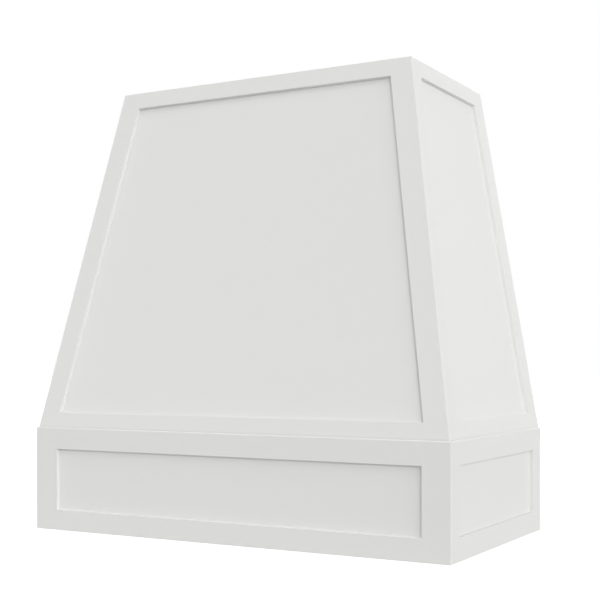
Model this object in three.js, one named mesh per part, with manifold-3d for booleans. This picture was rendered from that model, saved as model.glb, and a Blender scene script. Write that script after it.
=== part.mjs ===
// A painted wooden cover for a kitchen range hood, in millimetres with +Z up.
//
// A tapered body stands on a straight apron, and both are three-sided boxes of framed panels whose
// corners are mitred. The back is open against the wall, the bottom is open for a metal hood insert and
// the top is open for its duct. Cleats, rails, posts and blocks inside carry the two boxes, hold the
// insert and take the screws in the wall.
//
// The origin is the middle of the footprint on the bottom rim. +X is to the right of someone who faces
// the hood, -Y is towards them and +Y is the wall.
//
// Nearly every piece is a board with six flat sides, and a lean of the body or a mitre slants some of
// them. So a board is written as the space between three pairs of planes. The normal of each plane
// points out of the box, and inset() moves a plane against its normal.

import * as THREE from "three";
import { mergeVertices } from "three/addons/utils/BufferGeometryUtils.js";
import Module from "manifold-3d";

// The two boxes
const apronWidth = 914.4;
const apronDepth = 484;
const apronHeight = 210.5;
const overallHeight = 904;
const topWidth = 656;
const topDepth = 356;
const ledgeDepth = 3.7; // the tapered body stands this far in from the apron's faces
const ledgeRise = 4.5; // and the apron's top edge is bevelled over this height to meet it

// The frames and their panels
const frameThickness = 19;
const panelThickness = 6;
const panelRecess = 7.5; // from a frame's face to its panel's
const grooveDepth = 10;
const panelPlay = 2; // room for the panel to swell at the bottom of its groove
const tenonPlay = 1; // room at the end of a tenon
const hipStileWidth = 44; // on the front of the tapered body
const sideHipStileWidth = 39.5; // on its sides, at the same corners
const sideWallStileWidth = 47;
const bodyTopRailWidth = 33;
const bodyBottomRailWidth = 29;
const apronFrontStileWidth = 53;
const apronSideStileWidth = 44;
const apronRailWidth = 41;

// The structure inside
const railThickness = 19; // the rails against the wall
const apronRailBottom = 60;
const footRailHeight = 60;
const hangingRailHeight = 100;
const postWidth = 38;
const postDepth = 38;
const cleatThickness = 19;
const cleatWidth = 45;
const footCleatHeight = 38;
const ledgerThickness = 19;
const ledgerWidth = 40;
const ledgerBottom = 60;
const cornerBlockWidth = 38;
const hipStripWidth = 25;
const topBoardThickness = 18;
const topBoardWidth = 55;

// The screws that hold the body down on the apron
const screwLength = 45;
const screwRadius = 2.1;
const screwHeadRadius = 4.2;
const screwHeadRim = 0.5;
const screwTipLength = 4;
const frontScrewInset = 138; // from the ends of the front cleat
const sideScrewInset = 81; // from the ends of the side cleats' clear runs

const jointGap = 0.3; // between pieces that touch
const overrun = 5; // how far a cutting solid runs past what it cuts
const roundSegments = 16;

const bodyHeight = overallHeight - apronHeight - jointGap;
const tenonLength = grooveDepth - tenonPlay;
const panelTongue = grooveDepth - panelPlay;

const paintedFrame = new THREE.MeshStandardMaterial({ color: "#e8e8e6", roughness: 0.45 });
const paintedPanel = new THREE.MeshStandardMaterial({ color: "#e6e6e4", roughness: 0.5 });
const plainPine = new THREE.MeshStandardMaterial({ color: "#d8b98a", roughness: 0.75 });
const plywood = new THREE.MeshStandardMaterial({ color: "#cda876", roughness: 0.8 });
const zincSteel = new THREE.MeshStandardMaterial({ color: "#b8bcc0", roughness: 0.35, metalness: 1 });

const manifold = await Module();
manifold.setup();

// Solids

// The closed geometry's solid, for joining and cutting.
function solidOf(geometry) {
  const bare = new THREE.BufferGeometry().setAttribute("position", geometry.getAttribute("position"));
  bare.setIndex(geometry.index);
  const merged = mergeVertices(bare);
  return new manifold.Manifold(
    new manifold.Mesh({
      numProp: 3,
      vertProperties: merged.getAttribute("position").array,
      triVerts: new Uint32Array(merged.index.array),
    }),
  );
}

// The solid's mesh, with its own centre as its pivot.
function meshOf(name, solid, material) {
  const { vertProperties, triVerts } = solid.getMesh();
  const geometry = new THREE.BufferGeometry();
  geometry.setAttribute("position", new THREE.BufferAttribute(vertProperties, 3));
  geometry.setIndex(new THREE.BufferAttribute(triVerts, 1));
  geometry.computeBoundingBox();
  const centre = geometry.boundingBox.getCenter(new THREE.Vector3());
  geometry.translate(-centre.x, -centre.y, -centre.z);
  geometry.computeVertexNormals();
  const mesh = new THREE.Mesh(geometry, material);
  mesh.name = name;
  mesh.position.copy(centre);
  return mesh;
}

// The point where three planes meet.
function cornerOf(a, b, c) {
  const bc = b.normal.clone().cross(c.normal);
  const ca = c.normal.clone().cross(a.normal);
  const ab = a.normal.clone().cross(b.normal);
  return new THREE.Vector3()
    .addScaledVector(bc, -a.constant)
    .addScaledVector(ca, -b.constant)
    .addScaledVector(ab, -c.constant)
    .divideScalar(a.normal.dot(bc));
}

// The board between three pairs of planes: a box with each corner where three of them meet.
function boardBetween(thickness, width, height) {
  const origin = cornerOf(thickness[0], width[0], height[0]);
  const edges = [
    cornerOf(thickness[1], width[0], height[0]).sub(origin),
    cornerOf(thickness[0], width[1], height[0]).sub(origin),
    cornerOf(thickness[0], width[0], height[1]).sub(origin),
  ];
  const mirrored = edges[0].dot(edges[1].cross(edges[2])) < 0;
  const [nearer, further] = mirrored ? [thickness[1], thickness[0]] : thickness;
  const box = new THREE.BoxGeometry();
  const corners = box.getAttribute("position");
  for (let i = 0; i < corners.count; i++) {
    const corner = cornerOf(
      corners.getX(i) < 0 ? nearer : further,
      corners.getY(i) < 0 ? width[0] : width[1],
      corners.getZ(i) < 0 ? height[0] : height[1],
    );
    corners.setXYZ(i, corner.x, corner.y, corner.z);
  }
  return solidOf(box);
}

// Planes

// A plane moved against its normal, into the box, by a distance.
function inset(plane, distance) {
  return new THREE.Plane(plane.normal.clone(), plane.constant + distance);
}

// The level plane at a height, with its normal up for the top of a box and down for its bottom.
function levelAt(z, normalUp = true) {
  const normal = new THREE.Vector3(0, 0, normalUp ? 1 : -1);
  return new THREE.Plane().setFromNormalAndCoplanarPoint(normal, new THREE.Vector3(0, 0, z));
}

// The upright plane that faces along a level direction, at a distance from the middle.
function uprightAt(direction, distance) {
  return new THREE.Plane(direction.clone(), -distance);
}

// The plane of a wall that stands `foot` from the middle at its foot and `head` from it at its top.
function leaningFace(direction, foot, head, height) {
  const normal = direction.clone().multiplyScalar(height);
  normal.z = foot - head;
  const footPoint = direction.clone().multiplyScalar(foot);
  return new THREE.Plane().setFromNormalAndCoplanarPoint(normal.normalize(), footPoint);
}

// The plane that halves the corner between a face and its neighbour, seen as the end of the face.
function mitreAt(face, neighbour) {
  const normal = neighbour.normal.clone().sub(face.normal);
  return new THREE.Plane(normal, neighbour.constant - face.constant).normalize();
}

// The plane square to a face along the line where an end plane meets it.
function squareTo(face, end) {
  const along = new THREE.Plane(face.normal.clone().cross(end.normal), 0);
  const across = end.normal.clone().projectOnPlane(face.normal).normalize();
  return new THREE.Plane().setFromNormalAndCoplanarPoint(across, cornerOf(face, end, along));
}

const front = new THREE.Vector3(0, -1, 0);
const back = new THREE.Vector3(0, 1, 0);
const left = new THREE.Vector3(-1, 0, 0);
const right = new THREE.Vector3(1, 0, 0);
const wall = uprightAt(back, apronDepth / 2);

// The outer faces of a box, in the frame of its own group, whose origin is at the foot of the box.
function boxFaces(foot, head, height) {
  return {
    front: leaningFace(front, foot.front, head.front, height),
    left: leaningFace(left, foot.side, head.side, height),
    right: leaningFace(right, foot.side, head.side, height),
    bottom: levelAt(0, false),
    top: levelAt(height),
  };
}

const apronReach = { front: apronDepth / 2, side: apronWidth / 2 };
const bodyFoot = { front: apronReach.front - ledgeDepth, side: apronReach.side - ledgeDepth };
const bodyHead = { front: topDepth - apronDepth / 2, side: topWidth / 2 };
const apron = boxFaces(apronReach, apronReach, apronHeight);
const body = boxFaces(bodyFoot, bodyHead, bodyHeight);

// What stands against the inside of a wall: the first of two planes, a width apart.
function behind(face, width) {
  const start = frameThickness + jointGap;
  return [inset(face, start), inset(face, start + width)];
}

// Framed panels

// The wedge that bevels the top edge of a face down to the ledge under the tapered body.
function bevelWedge(face, top, edges) {
  const normal = face.normal.clone().multiplyScalar(ledgeRise);
  normal.z += ledgeDepth;
  const brow = cornerOf(face, inset(top, ledgeRise), edges[0]);
  const slope = new THREE.Plane().setFromNormalAndCoplanarPoint(normal.normalize(), brow);
  return boardBetween(
    [slope, inset(face, -overrun)],
    edges.map((edge) => inset(edge, -overrun)),
    [inset(top, ledgeRise), inset(top, -overrun)],
  );
}

// A frame of two stiles and two rails round a panel that floats in their grooves. Each stile and rail
// is given by its name, by the plane at its outer edge and by its width on the show face. The rails have
// stub tenons as thick as the panel, which fill the ends of the grooves in the stiles.
function framedPanel(name, face, stiles, rails, bevelled = false) {
  const edgesOf = (members) => members.map(({ end }) => squareTo(face, end));
  const stileEdges = edgesOf(stiles);
  const railEdges = edgesOf(rails);
  // The plane past the inner edge of each stile or rail by a distance, or inside it where negative.
  const pastStiles = (distance) => stiles.map(({ width }, i) => inset(stileEdges[i], width + distance));
  const pastRails = (distance) => rails.map(({ width }, i) => inset(railEdges[i], width + distance));

  const ends = rails.map(({ end }) => end);
  const farEnds = ends.map((end) => inset(end, -overrun));
  const board = [face, inset(face, frameThickness)];
  const tongue = [inset(face, panelRecess), inset(face, panelRecess + panelThickness)];
  const groove = [inset(tongue[0], -jointGap), inset(tongue[1], jointGap)];
  const finish = (solid) => (bevelled ? solid.subtract(bevelWedge(face, rails[1].end, stileEdges)) : solid);

  const meshes = stiles.map((stile, i) => {
    const blank = boardBetween(board, [stile.end, pastStiles(0)[i]], ends);
    const slot = boardBetween(groove, [pastStiles(-grooveDepth)[i], pastStiles(overrun)[i]], farEnds);
    return meshOf(`${name}_${stile.name}`, finish(blank.subtract(slot)), paintedFrame);
  });
  rails.forEach((rail, i) => {
    const height = [rail.end, pastRails(0)[i]];
    const blank = boardBetween(board, pastStiles(jointGap), height);
    const tenons = boardBetween(tongue, pastStiles(-tenonLength), height);
    const slot = boardBetween(groove, pastStiles(-grooveDepth - overrun), [
      pastRails(-grooveDepth)[i],
      pastRails(overrun)[i],
    ]);
    const solid = blank.add(tenons).subtract(slot);
    meshes.push(meshOf(`${name}_${rail.name}`, finish(solid), paintedFrame));
  });
  const panel = boardBetween(tongue, pastStiles(-panelTongue), pastRails(-panelTongue));
  meshes.push(meshOf(`${name}_panel`, panel, paintedPanel));
  return meshes;
}

// The three framed walls of a box: the front, and two sides that run back to the wall.
function framedWalls(name, box, widths, bevelled) {
  const halfJoint = (mitre) => inset(mitre, jointGap / 2);
  const rails = [
    { name: "bottom_rail", end: box.bottom, width: widths.bottomRail },
    { name: "top_rail", end: box.top, width: widths.topRail },
  ];
  const frontStiles = [
    { name: "left_stile", end: halfJoint(mitreAt(box.front, box.left)), width: widths.frontStile },
    { name: "right_stile", end: halfJoint(mitreAt(box.front, box.right)), width: widths.frontStile },
  ];
  const sideStiles = (side) => [
    { name: "front_stile", end: halfJoint(mitreAt(side, box.front)), width: widths.cornerStile },
    { name: "wall_stile", end: wall, width: widths.wallStile },
  ];
  return [
    ...framedPanel(`${name}_front`, box.front, frontStiles, rails, bevelled),
    ...framedPanel(`${name}_left`, box.left, sideStiles(box.left), rails, bevelled),
    ...framedPanel(`${name}_right`, box.right, sideStiles(box.right), rails, bevelled),
  ];
}

// Screws

// A countersunk wood screw that points up from the middle of its head, grown all over by a clearance.
function screwShape(clearance = 0) {
  const coneHeight = screwHeadRadius - screwRadius;
  const profile = [
    [0, -clearance],
    [screwHeadRadius + clearance, -clearance],
    [screwHeadRadius + clearance, screwHeadRim],
    [screwRadius + clearance, screwHeadRim + coneHeight],
    [screwRadius + clearance, screwLength - screwTipLength],
    [0, screwLength + clearance],
  ];
  return new THREE.LatheGeometry(
    profile.map(([radius, height]) => new THREE.Vector2(radius, height)),
    roundSegments,
  ).rotateX(Math.PI / 2);
}

const cleatFoot = apronHeight - cleatThickness;
const frontCleatMiddle = -apronDepth / 2 + frameThickness + jointGap + cleatWidth / 2;
const sideCleatMiddle = apronWidth / 2 - frameThickness - jointGap - cleatWidth / 2;
const frontScrewReach = apronWidth / 2 - frameThickness - jointGap - frontScrewInset;
const nearScrew = frontCleatMiddle + cleatWidth / 2 + sideScrewInset;
const farScrew = apronDepth / 2 - railThickness - jointGap - postDepth - sideScrewInset;

// Where the screws' heads lie, in the underside of the apron's cleats.
const screwPlaces = {
  body_screw_front_left: [-frontScrewReach, frontCleatMiddle],
  body_screw_front_right: [frontScrewReach, frontCleatMiddle],
  body_screw_left_front: [-sideCleatMiddle, nearScrew],
  body_screw_left_back: [-sideCleatMiddle, farScrew],
  body_screw_right_front: [sideCleatMiddle, nearScrew],
  body_screw_right_back: [sideCleatMiddle, farScrew],
};

// The piece without the screws' holes, in a group whose foot is at a height above the bottom rim.
function drilled(solid, foot) {
  return Object.values(screwPlaces).reduce((piece, [x, y]) => {
    const hole = screwShape(jointGap).translate(x, y, cleatFoot - foot);
    return piece.subtract(solidOf(hole));
  }, solid);
}

function screws() {
  return Object.entries(screwPlaces).map(([name, [x, y]]) => {
    const screw = new THREE.Mesh(screwShape(), zincSteel);
    screw.name = name;
    screw.position.set(x, y, cleatFoot);
    return screw;
  });
}

// The apron

// Four strips laid flat round the inside, on which the flange of a hood insert is screwed.
function ledgers() {
  const height = [levelAt(ledgerBottom, false), levelAt(ledgerBottom + ledgerThickness)];
  const frontStrip = behind(apron.front, ledgerWidth);
  const backFace = inset(wall, railThickness + jointGap);
  const backStrip = [backFace, inset(backFace, ledgerWidth)];
  const acrossInside = [behind(apron.left, 0)[0], behind(apron.right, 0)[0]];
  const betweenStrips = [inset(frontStrip[1], jointGap), inset(backStrip[1], jointGap)];
  const ledger = (name, thickness, width) =>
    meshOf(`insert_${name}_ledger`, boardBetween(thickness, width, height), plainPine);
  return [
    ledger("front", frontStrip, acrossInside),
    ledger("back", backStrip, acrossInside),
    ledger("left", behind(apron.left, ledgerWidth), betweenStrips),
    ledger("right", behind(apron.right, ledgerWidth), betweenStrips),
  ];
}

// Three strips laid flat under the apron's top edge, which the screws pass through.
function apronCleats() {
  const height = [levelAt(cleatFoot, false), levelAt(apronHeight)];
  const frontStrip = behind(apron.front, cleatWidth);
  const acrossInside = [behind(apron.left, 0)[0], behind(apron.right, 0)[0]];
  const toRail = [inset(frontStrip[1], jointGap), inset(wall, railThickness + jointGap)];
  const cleat = (name, thickness, width) =>
    meshOf(`apron_${name}_cleat`, drilled(boardBetween(thickness, width, height), 0), plainPine);
  return [
    cleat("front", frontStrip, acrossInside),
    cleat("left", behind(apron.left, cleatWidth), toRail),
    cleat("right", behind(apron.right, cleatWidth), toRail),
  ];
}

// The rail against the wall, and the blocks glued upright in the front corners.
function apronCarcass() {
  const acrossInside = [behind(apron.left, 0)[0], behind(apron.right, 0)[0]];
  const railHeight = [levelAt(apronRailBottom, false), levelAt(apronHeight)];
  const rail = boardBetween([wall, inset(wall, railThickness)], acrossInside, railHeight);
  const blockHeight = [
    levelAt(ledgerBottom + ledgerThickness + jointGap, false),
    levelAt(cleatFoot - jointGap),
  ];
  const block = (side) =>
    boardBetween(behind(apron.front, cornerBlockWidth), behind(side, cornerBlockWidth), blockHeight);
  return [
    meshOf("apron_wall_rail", rail, plywood),
    meshOf("apron_left_corner_block", block(apron.left), plainPine),
    meshOf("apron_right_corner_block", block(apron.right), plainPine),
  ];
}

// The tapered body, in its own group, whose foot stands on the apron

const bodyFootHeight = apronHeight + jointGap;
const topBoardFoot = bodyHeight - topBoardThickness;

// Three strips glued inside the foot of the body, which the screws hold down. Their inner edges line up
// with those of the apron's cleats.
function footCleats() {
  const height = [levelAt(0, false), levelAt(footCleatHeight)];
  const innerEdge = (face) => behind(face, cleatWidth)[1];
  const acrossInside = [behind(body.left, 0)[0], behind(body.right, 0)[0]];
  const toPost = [
    inset(innerEdge(apron.front), jointGap),
    inset(wall, railThickness + postDepth + 2 * jointGap),
  ];
  const cleat = (name, thickness, width) =>
    meshOf(`foot_${name}_cleat`, drilled(boardBetween(thickness, width, height), bodyFootHeight), plainPine);
  return [
    cleat("front", [behind(body.front, 0)[0], innerEdge(apron.front)], acrossInside),
    cleat("left", [behind(body.left, 0)[0], innerEdge(apron.left)], toPost),
    cleat("right", [behind(body.right, 0)[0], innerEdge(apron.right)], toPost),
  ];
}

// Two rails against the wall, the posts that they are screwed to, and strips glued up the front corners.
function bodyCarcass() {
  const acrossInside = [behind(body.left, 0)[0], behind(body.right, 0)[0]];
  const railLayer = [wall, inset(wall, railThickness)];
  const underTop = topBoardFoot - jointGap;
  const footRail = boardBetween(railLayer, acrossInside, [levelAt(0, false), levelAt(footRailHeight)]);
  const hangingRail = boardBetween(railLayer, acrossInside, [
    levelAt(underTop - hangingRailHeight, false),
    levelAt(underTop),
  ]);
  const postFace = inset(wall, railThickness + jointGap);
  const post = (side) =>
    boardBetween([postFace, inset(postFace, postDepth)], behind(side, postWidth), [
      levelAt(0, false),
      levelAt(underTop),
    ]);
  const stripHeight = [levelAt(footCleatHeight + jointGap, false), levelAt(underTop)];
  const strip = (side) =>
    boardBetween(behind(body.front, hipStripWidth), behind(side, hipStripWidth), stripHeight);
  return [
    meshOf("body_foot_rail", footRail, plywood),
    meshOf("body_hanging_rail", hangingRail, plywood),
    meshOf("body_left_post", post(body.left), plainPine),
    meshOf("body_right_post", post(body.right), plainPine),
    meshOf("body_left_hip_strip", strip(body.left), plainPine),
    meshOf("body_right_hip_strip", strip(body.right), plainPine),
  ];
}

// Four strips of plywood level with the top edge, round the opening for the duct.
function topBoards() {
  const height = [levelAt(topBoardFoot, false), levelAt(bodyHeight)];
  const inwards = frameThickness + jointGap + topBoardWidth;
  const openingFront = uprightAt(front, bodyHead.front - inwards);
  const openingBack = inset(wall, topBoardWidth);
  const openingSide = (direction) => uprightAt(direction, bodyHead.side - inwards);
  const acrossInside = [behind(body.left, 0)[0], behind(body.right, 0)[0]];
  const between = [inset(openingFront, jointGap), inset(openingBack, jointGap)];
  const strip = (name, thickness, width) =>
    meshOf(`top_${name}_strip`, boardBetween(thickness, width, height), plywood);
  return [
    strip("front", [behind(body.front, 0)[0], openingFront], acrossInside),
    strip("back", [wall, openingBack], acrossInside),
    strip("left", [behind(body.left, 0)[0], openingSide(left)], between),
    strip("right", [behind(body.right, 0)[0], openingSide(right)], between),
  ];
}

const apronWidths = {
  frontStile: apronFrontStileWidth,
  cornerStile: apronSideStileWidth,
  wallStile: apronSideStileWidth,
  bottomRail: apronRailWidth,
  topRail: apronRailWidth + ledgeRise,
};
const bodyWidths = {
  frontStile: hipStileWidth,
  cornerStile: sideHipStileWidth,
  wallStile: sideWallStileWidth,
  bottomRail: bodyBottomRailWidth,
  topRail: bodyTopRailWidth,
};

const apronGroup = new THREE.Group();
apronGroup.name = "apron";
apronGroup.add(
  ...framedWalls("apron", apron, apronWidths, true),
  ...ledgers(),
  ...apronCleats(),
  ...apronCarcass(),
  ...screws(),
);

const bodyGroup = new THREE.Group();
bodyGroup.name = "tapered_body";
bodyGroup.position.z = bodyFootHeight;
bodyGroup.add(
  ...framedWalls("body", body, bodyWidths, false),
  ...footCleats(),
  ...bodyCarcass(),
  ...topBoards(),
);

const hoodCover = new THREE.Group();
hoodCover.name = "range_hood_cover";
hoodCover.add(apronGroup, bodyGroup);

export default hoodCover;
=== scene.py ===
"""A white painted wooden cover for a kitchen range hood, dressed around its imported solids.

The frames get the coat of paint that closes their joints, eased arrises and the moulding of the apron's
ledge. The timber inside stays bare, with its arrises planed off and its screws driven in. Everything is
in metres in the part's own frame: +X is to the right of someone who faces the hood, -Y is towards them,
+Y is the wall and +Z is up.
"""

import math

import bpy
from mathutils import Matrix, Vector


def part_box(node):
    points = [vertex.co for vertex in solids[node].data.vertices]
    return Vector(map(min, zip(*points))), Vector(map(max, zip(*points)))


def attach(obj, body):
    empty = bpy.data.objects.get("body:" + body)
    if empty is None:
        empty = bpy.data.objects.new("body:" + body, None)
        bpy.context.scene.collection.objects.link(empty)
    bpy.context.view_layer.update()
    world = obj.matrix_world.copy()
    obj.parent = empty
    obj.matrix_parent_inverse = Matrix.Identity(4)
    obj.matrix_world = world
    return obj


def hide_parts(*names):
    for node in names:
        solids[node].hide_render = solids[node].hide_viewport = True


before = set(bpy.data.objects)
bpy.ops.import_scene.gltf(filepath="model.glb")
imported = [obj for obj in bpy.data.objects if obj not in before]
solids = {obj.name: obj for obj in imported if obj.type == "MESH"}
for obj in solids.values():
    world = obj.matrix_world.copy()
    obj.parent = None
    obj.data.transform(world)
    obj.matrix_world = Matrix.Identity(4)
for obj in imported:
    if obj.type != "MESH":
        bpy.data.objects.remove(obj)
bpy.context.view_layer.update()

MM = 0.001
BODY = "root"
FRONT = Vector((0, -1, 0))
WALL = Vector((0, 1, 0))
LEFT = Vector((-1, 0, 0))
RIGHT = Vector((1, 0, 0))
DOWN = Vector((0, 0, -1))
UP = Vector((0, 0, 1))
RIGHT_ANGLE = math.radians(90)

# How far the timber reaches back to the wall and up
WALL_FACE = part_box("body_hanging_rail")[1].y
TOP_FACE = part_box("top_back_strip")[1].z

# What counts as the same on a mesh
SAME_PLACE = 0.01 * MM
SAME_WAY = 0.99  # the dot product of two directions
FLAT = math.radians(0.5)  # the angle between two sides that are one flat side
CLEARLY = 1 * MM  # more than a coat of paint, and less than a step between two sides

# The painted frames
JOINT_GAP = 0.3 * MM  # what the solids leave between pieces that touch
PAINT_COAT = JOINT_GAP / 2  # a coat on both sides of a joint closes it
DRY_JOINT_COAT = 0.12 * MM  # the body is screwed down after painting, so this joint shows as a hairline
PANEL_RECESS = 7.5 * MM  # from a frame's face to its panel's
ARRIS_RADIUS = 0.8 * MM  # sanded by hand before painting
FOOT_ARRIS_RADIUS = 0.3 * MM  # along the foot of the body
ARRIS_CUTS = (1 / 3, 2 / 3)  # how far round an arris its two flats lie, from one side to the other
LEDGE_DEPTH = 3.7 * MM  # from the apron's face back to the body's
LEDGE_FILLET = 2.3 * MM  # left upright under the body
LEDGE_RADIUS = 1.8 * MM  # along the outer arris of the ledge
LEDGE_FACETS = 5  # round that arris
BEAD = 0.8 * MM  # the filler that closes the slit round a panel
BEAD_HOLLOW = 0.3 * BEAD  # from the panel and the frame to the middle of its hollow face
BEAD_SINK = 0.05 * MM  # how deep it sits in the faces that it joins

# The cutters, which run past the wood
CUT_PAST = 1 * MM
OPENING_CUT_PAST = 0.05 * MM
LEDGE_CUTTER_REACH = 0.6  # to each side of the middle

# The bare timber inside
PINE_ARRIS = 1.0 * MM
PLYWOOD_ARRIS = 0.4 * MM
ARRIS_ANGLE = math.radians(30)  # the least turn between two sides that meet in an arris
SHORT_EDGE = 12 * MM  # edges shorter than this, such as those round a hole, stay sharp
PLYWOOD_RAIL = 19 * MM  # the thickness of the rails at the wall
PLYWOOD_TOP = 18 * MM  # the thickness of the strips at the top
PLY_PAIRS = 6  # of a dark and a light ply, in either thickness

# Countersunk wood screws, 4.2 by 45 mm
SCREW_LENGTH = 45 * MM
HEAD_RADIUS = 4.2 * MM
HEAD_RIM = 0.5 * MM
HEAD_EASE = 0.15 * MM  # of the arris round the head
HEAD_EASE_HEIGHT = 0.12 * MM
SHANK_RADIUS = 1.5 * MM
THREAD_RADIUS = 2.1 * MM
THREAD_PITCH = 2.2 * MM
THREAD_CREST = 0.35 * THREAD_PITCH  # up from the foot of a turn to its crest
THREAD_WIDTH = 0.7 * THREAD_PITCH  # up from its foot to where it ends
THREAD_FROM = 12 * MM
TIP_LENGTH = 5 * MM
TIP_RADIUS = 0.15 * MM
TIP_BLUNT = 0.3 * MM
RECESS = ((2.4, 0.6, -0.5), (2.2, 0.55, 0.1), (0.9, 0.4, 2.2))  # an arm, half its width, its depth in mm
SINK = 0.15 * MM  # a head lies this far under the face of the wood
HOLE_PLAY = 0.3 * MM
HOLE_DEPTH = 6 * MM  # past which the screw fills its hole
AROUND = 16  # sides of every round piece

# Where the screws go
HANGING_SCREW_INSET = 24 * MM  # from the rail's edges
FOOT_SCREW_INSET = 15 * MM
LEDGER_SCREWS = (0.12, 0.36)  # from the middle of the hood
POST_MIDDLE = 19 * MM  # from a post's outer side


# The camera stands level at the photograph's place

CAMERA_PLACE = (1.2067, -2.0970, 0.3446)
CAMERA_TURN = math.radians(29.293)
LENS = 70.61  # in mm, as is the sensor
SENSOR_WIDTH = 36
HORIZON_SHIFT = 0.10175  # the horizon lies below the middle of the picture, and nothing leans

camera = bpy.data.objects.new("camera", bpy.data.cameras.new("camera"))
camera.data.lens = LENS
camera.data.sensor_width = SENSOR_WIDTH
camera.data.shift_y = HORIZON_SHIFT
camera.location = CAMERA_PLACE
camera.rotation_euler = (RIGHT_ANGLE, 0, CAMERA_TURN)
bpy.context.scene.collection.objects.link(camera)
bpy.context.scene.camera = camera


# Working on meshes as by hand


def deselect_all():
    """Leaves nothing selected, because an operator acts on all that is."""
    if bpy.context.object and bpy.context.object.mode != "OBJECT":
        bpy.ops.object.mode_set(mode="OBJECT")
    for other in bpy.context.selected_objects:
        other.select_set(False)


def take(piece):
    """Makes a piece the only one selected."""
    deselect_all()
    bpy.context.view_layer.objects.active = piece
    piece.select_set(True)


def edit(piece, kind="VERT"):
    """Opens a piece for editing with all of it selected."""
    take(piece)
    bpy.ops.object.mode_set(mode="EDIT")
    bpy.ops.mesh.select_mode(type=kind)
    bpy.ops.mesh.select_all(action="SELECT")


def close():
    """Ends the editing of a piece."""
    bpy.ops.object.mode_set(mode="OBJECT")


def side_facing(mesh, direction):
    """The flat side of a mesh that faces nearest to a direction."""
    return max(mesh.polygons, key=lambda side: side.normal.dot(direction))


def side_at(mesh, place):
    """The side of a mesh whose middle is nearest to a place."""
    return min(mesh.polygons, key=lambda side: (side.center - place).length)


def reach(mesh, direction):
    """How far a mesh reaches along a direction."""
    return max(corner.co.dot(direction) for corner in mesh.vertices)


def middle(places):
    """The middle of some places."""
    return sum(places, Vector((0, 0, 0))) / len(places)


def merged_copy(node, name):
    """A copy of a solid with its corners merged and its flat sides whole."""
    piece = bpy.data.objects.new(name, solids[node].data.copy())
    bpy.context.scene.collection.objects.link(piece)
    piece.data.materials.clear()
    edit(piece)
    bpy.ops.mesh.remove_doubles(threshold=SAME_PLACE)
    bpy.ops.mesh.dissolve_limited(angle_limit=FLAT)
    close()
    return piece


def extruded(name, outlines):
    """A closed solid through a row of outlines, extruded from each to the next."""
    deselect_all()
    bpy.ops.mesh.primitive_circle_add(vertices=len(outlines[0]), fill_type="NGON")
    piece = bpy.context.object
    piece.name = name
    side = piece.data.polygons[0]
    for corner, place in zip(side.vertices, outlines[0]):
        piece.data.vertices[corner].co = place
    edit(piece, "FACE")
    for outline in outlines[1:]:
        bpy.ops.object.mode_set(mode="EDIT")
        bpy.ops.mesh.extrude_region_move()
        close()
        side = next(side for side in piece.data.polygons if side.select)
        for corner, place in zip(side.vertices, outline):
            piece.data.vertices[corner].co = place
    edit(piece)
    bpy.ops.mesh.normals_make_consistent(inside=False)
    close()
    return piece


def ring_round(name, outlines):
    """A closed ring through a row of outlines, with the last joined to the first."""
    piece = extruded(name, outlines)
    ends = [side_at(piece.data, middle(outlines[i])).index for i in (0, -1)]
    edit(piece, "FACE")
    bpy.ops.mesh.select_all(action="DESELECT")
    close()
    for index in ends:
        piece.data.polygons[index].select = True
    bpy.ops.object.mode_set(mode="EDIT")
    bpy.ops.mesh.delete(type="ONLY_FACE")
    bpy.ops.mesh.select_mode(type="EDGE")
    bpy.ops.mesh.select_non_manifold()
    bpy.ops.mesh.bridge_edge_loops()
    bpy.ops.mesh.select_all(action="SELECT")
    bpy.ops.mesh.normals_make_consistent(inside=False)
    close()
    return piece


def circle(radius, height):
    """The outline of a round piece at a height."""
    turn = 2 * math.pi / AROUND
    return [
        Vector((radius * math.cos(i * turn), radius * math.sin(i * turn), height)) for i in range(AROUND)
    ]


def moved_outline(corners, normal, outwards, depth):
    """A flat outline grown outwards in its own plane, and put behind it by a depth."""
    grown = []
    for i, corner in enumerate(corners):
        before = (corner - corners[i - 1]).normalized().cross(normal)
        after = (corners[(i + 1) % len(corners)] - corner).normalized().cross(normal)
        grow = (before + after) / (1 + before.dot(after))
        grown.append(corner + grow * outwards - normal * depth)
    return grown


def cut_away(pieces, cutter):
    """Cuts a solid out of some pieces, and takes it away."""
    for piece in pieces:
        take(piece)
        cut = piece.modifiers.new("cut", "BOOLEAN")
        cut.operation = "DIFFERENCE"
        cut.solver = "EXACT"
        cut.object = cutter
        bpy.ops.object.modifier_apply(modifier=cut.name)
    bpy.data.objects.remove(cutter)


def belongs(piece, slot, *stands_for):
    """A finished piece rides on the hood and may stand for solids. Its slot is not used."""
    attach(piece, BODY)
    if stands_for:
        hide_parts(*stands_for)


# Materials

PAINT_WHITE = "#e8e8e6"
MIX_SHARE, MIX_A, MIX_B, MIX_COLOUR = 0, 6, 7, 2  # a Mix node's sockets for two colours
WAVE_FACTOR = 20  # a Wave texture multiplies a place by this and by its scale, to get radians


def linear(colour):
    """An sRGB hex colour as the linear red, green, blue and alpha that a shader takes."""
    parts = [int(colour[i : i + 2], 16) / 255 for i in (1, 3, 5)]
    return [p / 12.92 if p <= 0.04045 else ((p + 0.055) / 1.055) ** 2.4 for p in parts] + [1.0]


def per(size_mm):
    """The scale of a noise whose features are this big."""
    return 1 / (size_mm * MM)


def waves_per(spacing_mm):
    """The scale of a Wave texture whose bands or rings lie this far apart."""
    return 2 * math.pi / WAVE_FACTOR / (spacing_mm * MM)


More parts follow.
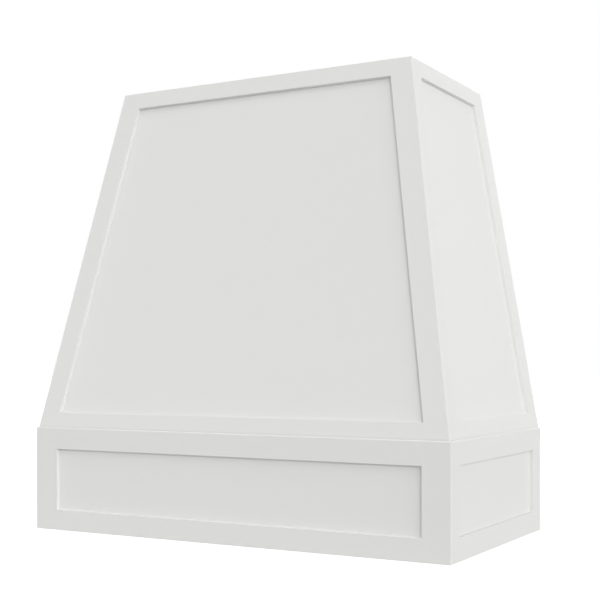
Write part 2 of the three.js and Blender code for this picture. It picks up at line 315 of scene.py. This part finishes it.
def add(tree, kind, inputs=(), **settings):
    """A node with its settings. An input is a value or the socket that feeds it."""
    node = tree.nodes.new(kind)
    for name, value in settings.items():
        setattr(node, name, value)
    for name, value in dict(inputs).items():
        if isinstance(value, bpy.types.NodeSocket):
            tree.links.new(value, node.inputs[name])
        else:
            node.inputs[name].default_value = value
    return node


def new_material(name, roughness, metallic=0.0):
    """A material with its shader, and the object's own coordinates for its patterns."""
    material = bpy.data.materials.new(name)
    material.use_nodes = True
    tree = material.node_tree
    shader = tree.nodes["Principled BSDF"]
    shader.inputs["Roughness"].default_value = roughness
    shader.inputs["Metallic"].default_value = metallic
    place = add(tree, "ShaderNodeTexCoord").outputs["Object"]
    return material, tree, shader, place


def satin_paint(name, shaded_colour, peel_mm):
    """Satin acrylic enamel, sprayed in a booth: even and slightly warm, with a low broad sheen and a
    faint orange peel that only shows in the sheen."""
    material, tree, shader, place = new_material(name, roughness=0.5)
    shader.inputs["Specular IOR Level"].default_value = 0.2
    cloudy = add(tree, "ShaderNodeTexNoise", {"Vector": place, "Scale": per(260), "Detail": 2.0})
    tint = add(
        tree,
        "ShaderNodeMix",
        {MIX_SHARE: cloudy.outputs["Fac"], MIX_A: linear(PAINT_WHITE), MIX_B: linear(shaded_colour)},
        data_type="RGBA",
    )
    tree.links.new(tint.outputs[MIX_COLOUR], shader.inputs["Base Color"])
    peel = add(tree, "ShaderNodeTexNoise", {"Vector": place, "Scale": per(peel_mm), "Detail": 1.0})
    sheen = add(
        tree,
        "ShaderNodeMapRange",
        {"Value": peel.outputs["Fac"], "To Min": 0.46, "To Max": 0.54},
    )
    tree.links.new(sheen.outputs["Result"], shader.inputs["Roughness"])
    bump = add(
        tree,
        "ShaderNodeBump",
        {"Height": peel.outputs["Fac"], "Strength": 0.1, "Distance": 0.05 * MM},
    )
    tree.links.new(bump.outputs["Normal"], shader.inputs["Normal"])
    return material


def overspray(tree, place, wood):
    """The paint that reaches up the inside of the apron, as high as the ledgers, and fades there."""
    uneven, thick_below, gone_above = 24 * MM, 66 * MM, 86 * MM
    height = add(tree, "ShaderNodeSeparateXYZ", {"Vector": place}).outputs["Z"]
    mist = add(tree, "ShaderNodeTexNoise", {"Vector": place, "Scale": per(9), "Detail": 4.0})
    edge = add(
        tree,
        "ShaderNodeMath",
        {0: mist.outputs["Fac"], 1: uneven, 2: height},
        operation="MULTIPLY_ADD",
    )
    share = add(
        tree,
        "ShaderNodeMapRange",
        {
            "Value": edge.outputs[0],
            "From Min": thick_below,
            "From Max": gone_above,
            "To Min": 1.0,
            "To Max": 0.0,
        },
    )
    over = add(
        tree,
        "ShaderNodeMix",
        {MIX_SHARE: share.outputs["Result"], MIX_A: wood, MIX_B: linear(PAINT_WHITE)},
        data_type="RGBA",
    )
    return over.outputs[MIX_COLOUR]


def streaked(tree, wood, streaks, darkest, lightest):
    """The colour of wood, made darker and lighter by its streaks."""
    shade = add(
        tree,
        "ShaderNodeMapRange",
        {"Value": streaks, "From Min": 0.3, "From Max": 0.7, "To Min": darkest, "To Max": lightest},
    )
    grained = add(
        tree,
        "ShaderNodeMix",
        {MIX_SHARE: 1.0, MIX_A: wood, MIX_B: shade.outputs["Result"]},
        data_type="RGBA",
        blend_type="MULTIPLY",
    )
    return grained.outputs[MIX_COLOUR]


def planed_wood(name, along, early, late, ring_mm, roughness, contrast=1.0, painted_below=False):
    """Softwood or poplar, sawn and planed: paler early wood and darker late wood in wandering lines along
    the board, their rings on its ends, and short fibres that break up the light."""
    wander_by = (0, 34 * MM, 34 * MM)
    wander_stretch = (0.12, 1, 1)
    fibre_stretch = (0.03, 1, 1)
    material, tree, shader, place = new_material(name, roughness)
    turn = Vector(along).rotation_difference(RIGHT).to_euler()
    board = add(tree, "ShaderNodeMapping", {"Vector": place, "Rotation": turn}).outputs[0]
    slow = add(tree, "ShaderNodeMapping", {"Vector": board, "Scale": wander_stretch}).outputs[0]
    wander = add(tree, "ShaderNodeTexNoise", {"Vector": slow, "Scale": per(70), "Detail": 2.0})
    bent = add(
        tree,
        "ShaderNodeVectorMath",
        {0: wander.outputs["Color"], 1: wander_by, 2: board},
        operation="MULTIPLY_ADD",
    )
    rings = add(
        tree,
        "ShaderNodeTexWave",
        {"Vector": bent.outputs[0], "Scale": waves_per(ring_mm)},
        wave_type="RINGS",
        rings_direction="X",
        wave_profile="SAW",
    )
    dark_band = add(
        tree,
        "ShaderNodeMapRange",
        {"Value": rings.outputs["Fac"], "From Min": 0.35, "From Max": 0.97, "To Max": contrast},
        interpolation_type="SMOOTHSTEP",
    )
    wood = add(
        tree,
        "ShaderNodeMix",
        {MIX_SHARE: dark_band.outputs["Result"], MIX_A: linear(early), MIX_B: linear(late)},
        data_type="RGBA",
    )
    drawn = add(tree, "ShaderNodeMapping", {"Vector": board, "Scale": fibre_stretch}).outputs[0]
    fibres = add(tree, "ShaderNodeTexNoise", {"Vector": drawn, "Scale": per(1.1), "Detail": 3.0})
    colour = streaked(tree, wood.outputs[MIX_COLOUR], fibres.outputs["Fac"], 0.9, 1.04)
    if painted_below:
        colour = overspray(tree, place, colour)
    tree.links.new(colour, shader.inputs["Base Color"])
    bump = add(
        tree,
        "ShaderNodeBump",
        {"Height": fibres.outputs["Fac"], "Strength": 0.25, "Distance": 0.08 * MM},
    )
    tree.links.new(bump.outputs["Normal"], shader.inputs["Normal"])
    return material


def birch_plywood(name, through, face_at, thickness):
    """Birch plywood, sanded and bare: a pale, quiet face with faint streaks, and on its edges the thin
    light and dark plies, counted from its face along the axis that goes through them."""
    figure_stretch = (0.07, 1, 1)
    material, tree, shader, place = new_material(name, roughness=0.6)
    scale = waves_per(thickness / PLY_PAIRS / MM)
    plies = add(
        tree,
        "ShaderNodeTexWave",
        {"Vector": place, "Scale": scale, "Phase Offset": math.pi - WAVE_FACTOR * scale * face_at},
        wave_type="BANDS",
        bands_direction=through,
        wave_profile="SIN",
    )
    light_ply = add(
        tree,
        "ShaderNodeMapRange",
        {"Value": plies.outputs["Fac"], "From Min": 0.35, "From Max": 0.65},
        interpolation_type="SMOOTHSTEP",
    )
    stack = add(
        tree,
        "ShaderNodeMix",
        {MIX_SHARE: light_ply.outputs["Result"], MIX_A: linear("#a9845a"), MIX_B: linear("#d9c29b")},
        data_type="RGBA",
    )
    drawn = add(tree, "ShaderNodeMapping", {"Vector": place, "Scale": figure_stretch}).outputs[0]
    figure = add(
        tree,
        "ShaderNodeTexNoise",
        {"Vector": drawn, "Scale": per(9), "Detail": 5.0, "Distortion": 0.8},
    )
    colour = streaked(tree, stack.outputs[MIX_COLOUR], figure.outputs["Fac"], 0.88, 1.05)
    tree.links.new(colour, shader.inputs["Base Color"])
    return material


def raw_fibreboard(name):
    """Medium density fibreboard, sanded and bare: an even tan, finely speckled by its fibres."""
    material, tree, shader, place = new_material(name, roughness=0.75)
    speckle = add(tree, "ShaderNodeTexNoise", {"Vector": place, "Scale": per(1.6), "Detail": 4.0})
    tan = add(
        tree,
        "ShaderNodeMapRange",
        {"Value": speckle.outputs["Fac"], "From Min": 0.35, "From Max": 0.65},
    )
    board = add(
        tree,
        "ShaderNodeMix",
        {MIX_SHARE: tan.outputs["Result"], MIX_A: linear("#b0946c"), MIX_B: linear("#bfa47c")},
        data_type="RGBA",
    )
    tree.links.new(overspray(tree, place, board.outputs[MIX_COLOUR]), shader.inputs["Base Color"])
    return material


def zinc_plate(name):
    """Hardened steel with bright zinc plate: a cool grey metal, slightly mottled by the plating."""
    material, tree, shader, place = new_material(name, roughness=0.3, metallic=1.0)
    mottle = add(tree, "ShaderNodeTexNoise", {"Vector": place, "Scale": per(2.5), "Detail": 3.0})
    plate = add(
        tree,
        "ShaderNodeMix",
        {MIX_SHARE: mottle.outputs["Fac"], MIX_A: linear("#b4b8bc"), MIX_B: linear("#d2d4d4")},
        data_type="RGBA",
    )
    tree.links.new(plate.outputs[MIX_COLOUR], shader.inputs["Base Color"])
    dulled = add(
        tree,
        "ShaderNodeMapRange",
        {"Value": mottle.outputs["Fac"], "To Min": 0.22, "To Max": 0.42},
    )
    tree.links.new(dulled.outputs["Result"], shader.inputs["Roughness"])
    return material


FRAME_PAINT = satin_paint("satin_white_paint_on_hardwood", "#e6e6e4", peel_mm=3)
PANEL_PAINT = satin_paint("satin_white_paint_on_fibreboard", "#e7e7e5", peel_mm=4)
FIBREBOARD = raw_fibreboard("bare_fibreboard")
ZINC = zinc_plate("zinc_plated_steel")
RAIL_PLYWOOD = birch_plywood("birch_plywood_upright", "Y", WALL_FACE, PLYWOOD_RAIL)
TOP_PLYWOOD = birch_plywood("birch_plywood_flat", "Z", TOP_FACE, PLYWOOD_TOP)

PINE = {"early": "#dcc095", "late": "#b98c55", "ring_mm": 4.5, "roughness": 0.62}
POPLAR = {"early": "#d8cba8", "late": "#b9aa80", "ring_mm": 6, "roughness": 0.6, "contrast": 0.5}

bare_woods = {}


def way_of(mesh):
    """The way that a board runs: along its longest edge, up, to the right or back."""
    ends = [[mesh.vertices[i].co for i in edge.vertices] for edge in mesh.edges]
    start, end = max(ends, key=lambda pair: (pair[0] - pair[1]).length)
    way = (end - start).normalized()
    return way if way.x + way.y + way.z > 0 else -way


def bare_wood(kind, mesh):
    """Bare timber with its grain along a board, made once for each way that boards run."""
    way = way_of(mesh)
    rough_way = tuple(round(part, 1) for part in way)
    if (kind, rough_way) not in bare_woods:
        runs = {(1, 0, 0): "across", (0, 1, 0): "to_the_wall", (0, 0, 1): "upright"}
        name = f"planed_{kind}_{runs.get(rough_way, f'leaning_{len(bare_woods)}')}"
        if kind == "pine":
            wood = planed_wood(name, way, **PINE)
        else:
            wood = planed_wood(name, way, **POPLAR, painted_below=True)
        bare_woods[kind, rough_way] = wood
    return bare_woods[kind, rough_way]


# Framed panels

# The way each side of a box faces, and its two stiles with the way that each one's outer edge faces
SIDE_STILES = {"front_stile": FRONT, "wall_stile": WALL}
SIDES = {
    "front": (FRONT, {"left_stile": LEFT, "right_stile": RIGHT}),
    "left": (LEFT, SIDE_STILES),
    "right": (RIGHT, SIDE_STILES),
}

# The rails, with the way that each one's inner edge faces
RAILS = {"bottom_rail": UP, "top_rail": DOWN}

# The level outer arrises of each box, with their radius and the rail that doesn't reach them
LEVEL_ARRISES = {
    "apron": [(DOWN, ARRIS_RADIUS, "top_rail")],
    "body": [(UP, ARRIS_RADIUS, "bottom_rail"), (DOWN, FOOT_ARRIS_RADIUS, "top_rail")],
}


def outward_normal(box_name, direction):
    """The outward normal of a box's show face on one side, or of the wall's."""
    for side_name, (way, _) in SIDES.items():
        if way == direction:
            return side_facing(solids[f"{box_name}_{side_name}_panel"].data, way).normal.copy()
    return direction


def meeting_place(planes):
    """The point where flat planes meet, each given by its normal and its distance from the origin."""
    faint = 1e-9  # only counts in a direction that none of the planes fixes
    directions = Matrix.Identity(3) * faint
    distances = Vector((0, 0, 0))
    for normal, distance in planes:
        directions += Matrix([normal * part for part in normal])
        distances += normal * distance
    return directions.inverted() @ distances


def planes_at(mesh, index):
    """The planes of the flat sides that meet at a corner."""
    corner = mesh.vertices[index].co
    sides = [side for side in mesh.polygons if index in side.vertices]
    return [(side.normal.copy(), side.normal.dot(corner)) for side in sides]


def put_coat_on(piece, dry_side):
    """Moves every flat side of a piece outwards by a coat of paint, a thinner one on the dry side."""
    places = []
    for corner in piece.data.vertices:
        coated = []
        for normal, distance in planes_at(piece.data, corner.index):
            coat = DRY_JOINT_COAT if normal.dot(dry_side) > SAME_WAY else PAINT_COAT
            coated.append((normal, distance + coat))
        places.append(meeting_place(coated))
    for corner, place in zip(piece.data.vertices, places):
        corner.co = place


def square_up(piece, normal):
    """Fills a piece out to a square top arris, where its solid has the bevel of the ledge."""
    mesh = piece.data
    bevel = side_facing(mesh, (normal + UP).normalized()).normal.copy()
    top, face = reach(mesh, UP), reach(mesh, normal)
    places = {}
    for corner in mesh.vertices:
        planes = planes_at(mesh, corner.index)
        if top - corner.co.z < SAME_PLACE and any(way.dot(bevel) > SAME_WAY for way, _ in planes):
            planes = [plane for plane in planes if plane[0].dot(bevel) < SAME_WAY]
            places[corner.index] = meeting_place(planes + [(normal, face)])
    for index, place in places.items():
        mesh.vertices[index].co = place
    edit(piece)
    bpy.ops.mesh.dissolve_limited(angle_limit=FLAT)
    close()


def ease_arris(piece, face, neighbour, radius):
    """Rounds the arris between two sides, given by their normals, with two flat cuts."""
    face_reach = reach(piece.data, face) - radius
    neighbour_reach = reach(piece.data, neighbour) - radius
    opening = face.angle(neighbour)
    for share in ARRIS_CUTS:
        a = math.sin((1 - share) * opening) / math.sin(opening)
        b = math.sin(share * opening) / math.sin(opening)
        cut = a * face + b * neighbour
        edit(piece)
        bpy.ops.mesh.bisect(
            plane_co=cut * (a * face_reach + b * neighbour_reach + radius),
            plane_no=cut,
            use_fill=True,
            clear_outer=True,
            threshold=0.1 * SAME_PLACE,
        )
        close()


def mould_ledge(pieces, normal):
    """Moulds the top of the apron: a small upright fillet under the body, a flat and a round-over."""
    face, top = reach(pieces[0].data, normal), reach(pieces[0].data, UP)
    profile = [(-CUT_PAST, CUT_PAST), (LEDGE_DEPTH, CUT_PAST), (LEDGE_DEPTH, -LEDGE_FILLET)]
    for i in range(LEDGE_FACETS + 1):
        turn = RIGHT_ANGLE * i / LEDGE_FACETS
        depth = LEDGE_RADIUS * (1 - math.sin(turn))
        drop = LEDGE_RADIUS * (1 - math.cos(turn))
        profile.append((depth, -LEDGE_FILLET - drop))
    profile.append((-CUT_PAST, -LEDGE_FILLET - LEDGE_RADIUS))
    outlines = [
        [normal * (face - depth) + UP * (top + height) + end for depth, height in profile]
        for end in (UP.cross(normal) * -LEDGE_CUTTER_REACH, UP.cross(normal) * LEDGE_CUTTER_REACH)
    ]
    cut_away(pieces, extruded("ledge_cutter", outlines))


def opening_corners(members, normal):
    """The corners of the opening in a frame's show face, from the inner arrises of its two rails."""
    corners = []
    for rail, inwards in RAILS.items():
        mesh = members[rail].data
        face = reach(mesh, normal)
        on_face = [corner.co for corner in mesh.vertices if face - corner.co.dot(normal) < SAME_PLACE]
        inner = sorted(on_face, key=lambda place: -place.dot(inwards))[:2]
        inner.sort(key=lambda place: place.dot(UP.cross(normal)), reverse=inwards == DOWN)
        corners += [place.copy() for place in inner]
    return corners


def ease_opening(stiles, corners, normal):
    """Rounds the stiles' inner arrises up to the corners of the opening, as the rails' are rounded. The
    two flats meet near the arris, and reach the sides of the wood far from it."""
    first_turn, second_turn = (share * RIGHT_ANGLE for share in ARRIS_CUTS)
    near = math.tan(first_turn / 2) * ARRIS_RADIUS
    far = ARRIS_RADIUS - near + math.tan(second_turn) * OPENING_CUT_PAST
    outlines = [
        moved_outline(corners, normal, -OPENING_CUT_PAST, far),
        moved_outline(corners, normal, near, near),
        moved_outline(corners, normal, far, -OPENING_CUT_PAST),
    ]
    cut_away(stiles, extruded("opening_cutter", outlines))


def paint_bead(name, corners, normal):
    """The fillet of filler round a panel, which closes the slit between it and its frame."""
    depth = PANEL_RECESS + PAINT_COAT
    outlines = [
        moved_outline(corners, normal, BEAD_SINK, depth + BEAD_SINK),
        moved_outline(corners, normal, -BEAD, depth + BEAD_SINK),
        moved_outline(corners, normal, -BEAD_HOLLOW, depth - BEAD_HOLLOW),
        moved_outline(corners, normal, BEAD_SINK, depth - BEAD),
    ]
    bead = ring_round(name, outlines)
    bead.data.materials.append(PANEL_PAINT)
    belongs(bead, "painted_panel")


def paint_outside(piece, normal, wood, opening):
    """Paint on a member, but for its back, an edge against the wall and what faces the middle of the
    opening behind the panel."""
    piece.data.materials.append(FRAME_PAINT)
    piece.data.materials.append(wood)
    panel_face = reach(piece.data, normal) - PANEL_RECESS
    for side in piece.data.polygons:
        on_back = side.normal.dot(normal) < -SAME_WAY
        at_wall = side.center.y > WALL_FACE - CLEARLY
        faces_opening = side.normal.dot(opening - side.center) > 0
        behind_panel = faces_opening and side.center.dot(normal) < panel_face - CLEARLY
        side.material_index = 1 if on_back or at_wall or behind_panel else 0


def framed_panel(box_name, side_name):
    """Dresses the stiles, the rails and the panel of one frame, and runs a bead round the panel."""
    name = f"{box_name}_{side_name}"
    direction, stiles = SIDES[side_name]
    normal = outward_normal(box_name, direction)
    members = {}
    for part in (*stiles, *RAILS):
        members[part] = merged_copy(f"{name}_{part}", f"{name}_{part}_painted")
        if part != "bottom_rail" and box_name == "apron":
            square_up(members[part], normal)
        put_coat_on(members[part], DOWN if box_name == "body" else UP)
    woods = {part: bare_wood("poplar", piece.data) for part, piece in members.items()}
    corners = opening_corners(members, normal)
    if box_name == "apron":
        mould_ledge([members[part] for part in (*stiles, "top_rail")], normal)
    for part, piece in members.items():
        for level_side, radius, short_rail in LEVEL_ARRISES[box_name]:
            if part != short_rail:
                ease_arris(piece, normal, level_side, radius)
        if part in stiles:
            eased_side = outward_normal(box_name, stiles[part])
        else:
            eased_side = side_facing(piece.data, RAILS[part]).normal.copy()
        ease_arris(piece, normal, eased_side, ARRIS_RADIUS)
    ease_opening([members[part] for part in stiles], corners, normal)
    for part, piece in members.items():
        paint_outside(piece, normal, woods[part], middle(corners))
        belongs(piece, "painted_frame", f"{name}_{part}")
    paint_bead(f"{name}_panel_bead", corners, normal)
    panel = solids[f"{name}_panel"].data
    panel.materials.clear()
    panel.materials.append(PANEL_PAINT)
    panel.materials.append(FIBREBOARD)
    for side in panel.polygons:
        side.material_index = 0 if side.normal.dot(normal) > SAME_WAY else 1


for box_name in LEVEL_ARRISES:
    for side_name in SIDES:
        framed_panel(box_name, side_name)


# Screws


def cross_outline(arm, half, height):
    """A cross with four arms, for the recess that takes a driver."""
    outline = []
    for turn in range(4):
        for x, y in ((arm, -half), (arm, half), (half, half)):
            for _ in range(turn):
                x, y = -y, x
            outline.append(Vector((x, y, height)))
    return outline


def wood_screw():
    """One countersunk screw that points up, with the middle of its head at the origin. Its thread is a
    row of rings, because it lies in the wood."""
    profile = [
        (HEAD_RADIUS - HEAD_EASE, 0),
        (HEAD_RADIUS, HEAD_EASE_HEIGHT),
        (HEAD_RADIUS, HEAD_RIM),
        (SHANK_RADIUS, HEAD_RIM + HEAD_RADIUS - SHANK_RADIUS),
        (SHANK_RADIUS, THREAD_FROM),
    ]
    height = THREAD_FROM
    while height < SCREW_LENGTH - TIP_LENGTH - THREAD_PITCH:
        profile.append((THREAD_RADIUS, height + THREAD_CREST))
        profile.append((SHANK_RADIUS, height + THREAD_WIDTH))
        height += THREAD_PITCH
    profile.append((SHANK_RADIUS, SCREW_LENGTH - TIP_LENGTH))
    profile.append((TIP_RADIUS, SCREW_LENGTH - TIP_BLUNT))
    screw = extruded("wood_screw", [circle(radius, z) for radius, z in profile])
    recess = [cross_outline(arm * MM, half * MM, depth * MM) for arm, half, depth in RECESS]
    cut_away([screw], extruded("driver_recess", recess))
    screw.data.materials.clear()
    screw.data.materials.append(ZINC)
    return screw


def screw_hole():
    """What a screw's hole takes out of the wood, with the middle of its mouth at the origin."""
    profile = [
        (HEAD_RADIUS + HOLE_PLAY, -CUT_PAST),
        (HEAD_RADIUS + HOLE_PLAY, HEAD_RIM),
        (SHANK_RADIUS + HOLE_PLAY, HEAD_RIM + HEAD_RADIUS - SHANK_RADIUS),
        (SHANK_RADIUS + HOLE_PLAY, HOLE_DEPTH),
    ]
    return extruded("screw_hole", [circle(radius, z) for radius, z in profile])


def driven(pattern, name, places, points_to):
    """Copies of a pattern, one at each place and pointing one way, joined as one piece."""
    turn = UP.rotation_difference(points_to).to_matrix().to_4x4()
    deselect_all()
    copies = []
    for place in places:
        piece = bpy.data.objects.new(name, pattern.data.copy())
        bpy.context.scene.collection.objects.link(piece)
        piece.data.transform(Matrix.Translation(place) @ turn)
        piece.select_set(True)
        copies.append(piece)
    bpy.context.view_layer.objects.active = copies[0]
    if len(copies) > 1:
        bpy.ops.object.join()
    copies[0].name = name
    return copies[0]


screw_pattern = wood_screw()
hole_pattern = screw_hole()

for node in solids:
    if node.startswith("body_screw"):
        low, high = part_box(node)
        head = Vector(((low.x + high.x) / 2, (low.y + high.y) / 2, low.z + SINK))
        belongs(driven(screw_pattern, f"{node}_zinc", [head], UP), "zinc_steel", node)


# The bare timber


def bare_timber(node, slot, wood, arris):
    """A piece of the structure inside, with its long arrises taken off."""
    piece = merged_copy(node, f"{node}_timber")
    piece.data.materials.append(wood or bare_wood("pine", piece.data))
    edit(piece, "EDGE")
    bpy.ops.mesh.select_all(action="DESELECT")
    bpy.ops.mesh.edges_select_sharp(sharpness=ARRIS_ANGLE)
    close()
    for edge in piece.data.edges:
        start, end = (piece.data.vertices[i].co for i in edge.vertices)
        if (end - start).length < SHORT_EDGE:
            edge.select = False
    bpy.ops.object.mode_set(mode="EDIT")
    bpy.ops.mesh.bevel(offset=arris, segments=2, affect="EDGES")
    close()
    belongs(piece, slot, node)
    return piece


def screwed(name, piece, places, points_to):
    """Drives screws into a piece of timber, each in a countersunk hole."""
    cut_away([piece], driven(hole_pattern, "holes", places, points_to))
    sunk = [place + points_to * SINK for place in places]
    belongs(driven(screw_pattern, name, sunk, points_to), "zinc_steel")


def on_both_sides(x, y, z):
    """A place on the right, and its mirror image on the left before it."""
    return [Vector((-x, y, z)), Vector((x, y, z))]


timber = {}
for node in solids:
    if node.endswith(("_wall_rail", "_foot_rail", "_hanging_rail")):
        timber[node] = bare_timber(node, "plywood", RAIL_PLYWOOD, PLYWOOD_ARRIS)
    elif node.startswith("top_"):
        timber[node] = bare_timber(node, "plywood", TOP_PLYWOOD, PLYWOOD_ARRIS)
    elif node.endswith(("_ledger", "_cleat", "_block", "_post", "_strip")):
        timber[node] = bare_timber(node, "pine", None, PINE_ARRIS)

post_low, post_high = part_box("body_right_post")
foot_low, foot_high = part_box("body_foot_rail")
hanging_low, hanging_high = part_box("body_hanging_rail")
ledger_low, ledger_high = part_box("insert_back_ledger")
cleat_low, cleat_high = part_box("apron_right_cleat")

# The rails end against the sides, so they are longest at their feet and give the posts' lean
post_lean = (foot_high.x - hanging_high.x) / (foot_low.z - hanging_low.z)


def post_middle(height):
    """How far out the middle of a leaning post is at a height."""
    return hanging_high.x + post_lean * (height - hanging_low.z) - POST_MIDDLE


def post_screws(heights):
    """Where screws go through a rail into both posts."""
    return [place for z in heights for place in on_both_sides(post_middle(z), WALL_FACE, z)]


places = post_screws((hanging_low.z + HANGING_SCREW_INSET, hanging_high.z - HANGING_SCREW_INSET))
screwed("hanging_rail_screws", timber["body_hanging_rail"], places, FRONT)

places = post_screws((foot_low.z + FOOT_SCREW_INSET, foot_high.z - FOOT_SCREW_INSET))
screwed("foot_rail_screws", timber["body_foot_rail"], places, FRONT)

places = on_both_sides((cleat_low.x + cleat_high.x) / 2, WALL_FACE, (cleat_low.z + cleat_high.z) / 2)
for x in LEDGER_SCREWS:
    places += on_both_sides(x, WALL_FACE, (ledger_low.z + ledger_high.z) / 2)
screwed("apron_rail_screws", timber["apron_wall_rail"], places, FRONT)

places = on_both_sides(post_middle(post_high.z), (post_low.y + post_high.y) / 2, TOP_FACE)
screwed("top_back_screws", timber["top_back_strip"], places, DOWN)

bpy.data.objects.remove(screw_pattern)
bpy.data.objects.remove(hole_pattern)


# The stage

WORLD_LIGHT = 0.15
FLOOR_SIZE = 40
FLOOR_DROP = 0.2 * MM  # just clear of the paint under the rims
FLOOR_COLOUR = "#cccccc"
FLOOR_SHADE = "#b0b0b0"  # what the lamps light of the floor that is seen, which keeps the shadow
FLOOR_GLOW = 0.72  # brings that floor up to white where no shadow falls


def soft_sun(name, turn, height, spread, strength):
    """A far studio lamp, so many degrees to the right of the front, above the floor and across. Its
    strength is a share of full light on a face that is turned to it."""
    data = bpy.data.lights.new(name, "SUN")
    data.energy = math.pi * strength
    data.angle = math.radians(spread)
    lamp = bpy.data.objects.new(name, data)
    across, up = math.radians(turn), math.radians(height)
    towards = Vector((math.sin(across) * math.cos(up), -math.cos(across) * math.cos(up), math.sin(up)))
    lamp.rotation_euler = (-towards).to_track_quat("-Z", "Y").to_euler()
    bpy.context.scene.collection.objects.link(lamp)


# Each lamp's turn, height and spread in degrees, and its strength
LAMPS = {
    "key": (42, 20, 8, 0.260),
    "right_window": (70, 8, 40, 0.370),
    "far_right_window": (105, 8, 40, 0.200),
    "overhead": (0, 75, 40, 0.181),
    "high_right": (35, 52, 40, 0.092),
    "high_left": (-35, 52, 40, 0.105),
    "front_left": (-35, 8, 40, 0.150),
    "left": (-105, 8, 40, 0.360),
    "behind": (-165, 8, 40, 0.400),
}
for lamp_name, settings in LAMPS.items():
    soft_sun(lamp_name, *settings)


def seen_rays(tree):
    """1 for the rays that show the background: those of the camera, of gloss and through glass."""
    rays = add(tree, "ShaderNodeLightPath")
    some = add(
        tree,
        "ShaderNodeMath",
        {0: rays.outputs["Is Camera Ray"], 1: rays.outputs["Is Glossy Ray"]},
        operation="MAXIMUM",
    )
    every = add(
        tree,
        "ShaderNodeMath",
        {0: some.outputs[0], 1: rays.outputs["Is Transmission Ray"]},
        operation="MAXIMUM",
    )
    return every.outputs[0]


world = bpy.data.worlds.new("studio")
bpy.context.scene.world = world
world.use_nodes = True
sky = world.node_tree.nodes["Background"]
sky.inputs["Color"].default_value = linear("#ffffff")
sky.inputs["Strength"].default_value = WORLD_LIGHT
white = add(world.node_tree, "ShaderNodeBackground", {"Color": linear("#ffffff"), "Strength": 1.0})
backdrop = add(
    world.node_tree,
    "ShaderNodeMixShader",
    {0: seen_rays(world.node_tree), 1: sky.outputs[0], 2: white.outputs[0]},
)
world.node_tree.links.new(backdrop.outputs[0], world.node_tree.nodes["World Output"].inputs["Surface"])

deselect_all()
bpy.ops.mesh.primitive_plane_add(size=FLOOR_SIZE, location=(0, 0, -FLOOR_DROP))
bpy.ops.object.transform_apply()
floor = bpy.context.object
floor.name = "floor"
floor_paint, floor_tree, floor_shader, _ = new_material("matt_pale_studio_floor", roughness=0.9)
floor_shader.inputs["Base Color"].default_value = linear(FLOOR_COLOUR)
floor_shader.inputs["Specular IOR Level"].default_value = 0
shadow = add(floor_tree, "ShaderNodeBsdfDiffuse", {"Color": linear(FLOOR_SHADE)})
glow = add(floor_tree, "ShaderNodeEmission", {"Color": linear("#ffffff"), "Strength": FLOOR_GLOW})
bright = add(floor_tree, "ShaderNodeAddShader", {0: shadow.outputs[0], 1: glow.outputs[0]})
floor_look = add(
    floor_tree,
    "ShaderNodeMixShader",
    {0: seen_rays(floor_tree), 1: floor_shader.outputs[0], 2: bright.outputs[0]},
)
floor_tree.links.new(floor_look.outputs[0], floor_tree.nodes["Material Output"].inputs["Surface"])
floor.data.materials.append(floor_paint)

bpy.context.scene.view_settings.view_transform = "Standard"
